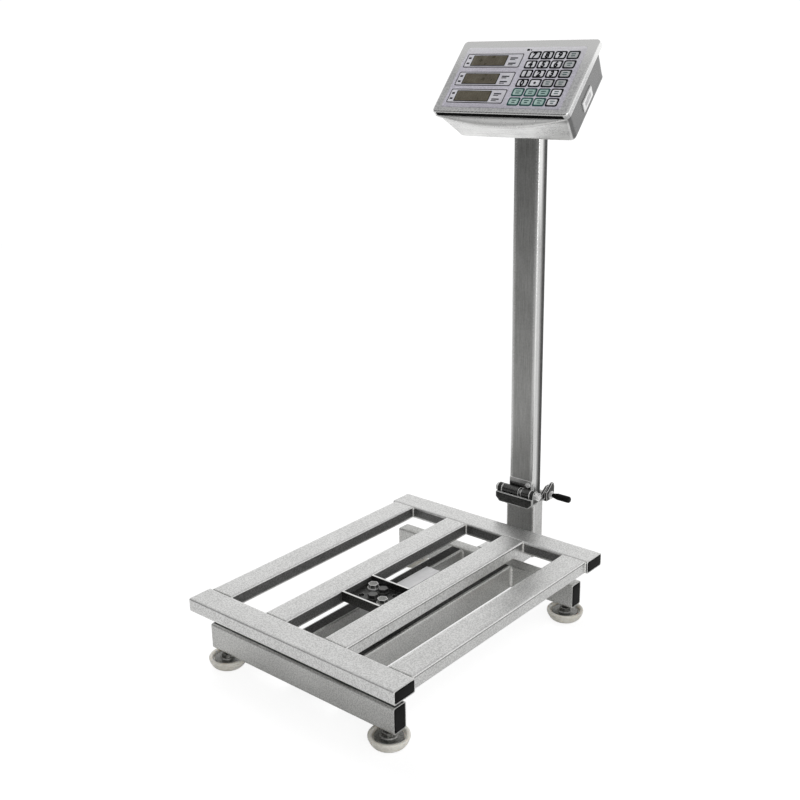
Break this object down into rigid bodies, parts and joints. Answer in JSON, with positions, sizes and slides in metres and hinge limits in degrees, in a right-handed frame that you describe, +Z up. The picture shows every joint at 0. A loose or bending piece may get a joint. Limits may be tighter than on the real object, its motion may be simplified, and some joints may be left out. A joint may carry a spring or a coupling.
{
  "type": "bench weighing scale",
  "caption": "Bench scale with a slatted steel platform on a load cell, levelling feet, a folding post and a tilted indicator head with displays and a keypad.",
  "frame": {"origin": "on the floor, under the centre of the whole object's box", "axes": "+Z up; +X to the user's right; +Y from the user's side, where the platform's front edge is, to the post at the back"},
  "size_m": [0.38, 0.588, 0.8397],
  "materials": {
    "satin_steel": "satin brushed stainless steel",
    "pressed_steel": "pressed and welded stainless sheet, dull",
    "polished_steel": "bright polished stainless steel",
    "dark_steel": "dark, oiled steel",
    "milled_aluminium": "milled aluminium, clear anodised",
    "black_plastic": "moulded, fine grain",
    "cable_sheath": "flexible jacket",
    "pale_rubber": "pale moulded rubber",
    "keypad_film": "printed film, satin",
    "display_lcd": "olive display behind a clear window",
    "circuit_board": "solder mask",
    "grey_plastic": "moulded"
  },
  "bodies": {
    "frame": {"platform_front_tube": "satin_steel", "platform_rear_tube": "satin_steel", "platform_slat_1": "satin_steel", "platform_slat_2": "satin_steel", "platform_slat_3": "satin_steel", "platform_slat_4": "satin_steel", "platform_cap_front_left": "black_plastic", "platform_cap_front_right": "black_plastic", "platform_cap_rear_left": "black_plastic", "platform_cap_rear_right": "black_plastic", "base_front_tube": "satin_steel", "base_rear_tube": "satin_steel", "base_beam_left": "satin_steel", "base_beam_right": "satin_steel", "base_cap_front_left": "black_plastic", "base_cap_front_right": "black_plastic", "base_cap_rear_left": "black_plastic", "base_cap_rear_right": "black_plastic", "load_cell_channel": "dark_steel", "load_cell_spacer": "dark_steel", "load_cell": "milled_aluminium", "load_cell_base_plate": "satin_steel", "cell_bolt_upper_1": "dark_steel", "cell_bolt_upper_2": "dark_steel", "cell_bolt_lower_1": "polished_steel", "cell_bolt_lower_2": "polished_steel", "channel_bolt_1": "polished_steel", "channel_bolt_2": "polished_steel", "post_arm": "satin_steel", "post_stub": "satin_steel", "hinge_lower_bracket": "pressed_steel", "hinge_pin": "polished_steel", "hinge_pin_nut": "polished_steel", "signal_cable_base": "cable_sheath"},
    "post": {"hinge_upper_bracket": "pressed_steel", "hinge_leaf_bolt": "polished_steel", "post_tube": "satin_steel", "head_plate": "satin_steel", "head_tray": "satin_steel", "head_cover": "polished_steel", "keypad_overlay": "keypad_film", "display_1": "display_lcd", "display_2": "display_lcd", "display_3": "display_lcd", "main_board": "circuit_board", "battery": "grey_plastic", "switch_body": "black_plastic", "charge_socket": "black_plastic", "signal_cable_post": "cable_sheath"},
    "clamp": {"clamp_screw": "polished_steel", "clamp_grip": "black_plastic"},
    "rocker": {"switch_rocker": "grey_plastic"},
    "foot_front_left": {"foot_cup_front_left": "pale_rubber", "foot_stud_front_left": "dark_steel"},
    "foot_front_right": {"foot_cup_front_right": "pale_rubber", "foot_stud_front_right": "dark_steel"},
    "foot_rear_left": {"foot_cup_rear_left": "pale_rubber", "foot_stud_rear_left": "dark_steel"},
    "foot_rear_right": {"foot_cup_rear_right": "pale_rubber", "foot_stud_rear_right": "dark_steel"}
  },
  "joints": [
    {"name": "post_fold", "type": "hinge", "parent": "frame", "child": "post", "pos_m": [0, 0.239, 0.14], "axis": [1, 0, 0], "range_deg": [0, 90]},
    {"name": "clamp_turn", "type": "hinge", "parent": "frame", "child": "clamp", "pos_m": [0, 0.282, 0.129], "axis": [1, 0, 0], "range_deg": [0, 360]},
    {"name": "switch_rocker", "type": "hinge", "parent": "post", "child": "rocker", "pos_m": [0.10453, 0.23784, 0.76133], "axis": [0.2682, -0.7326, 0.6257], "range_deg": [0, 12]},
    {"name": "foot_front_left_height", "type": "slide", "parent": "frame", "child": "foot_front_left", "axis": [0, 0, 1], "range_m": [-0.008, 0]},
    {"name": "foot_front_right_height", "type": "slide", "parent": "frame", "child": "foot_front_right", "axis": [0, 0, 1], "range_m": [-0.008, 0]},
    {"name": "foot_rear_left_height", "type": "slide", "parent": "frame", "child": "foot_rear_left", "axis": [0, 0, 1], "range_m": [-0.008, 0]},
    {"name": "foot_rear_right_height", "type": "slide", "parent": "frame", "child": "foot_rear_right", "axis": [0, 0, 1], "range_m": [-0.008, 0]}
  ]
}
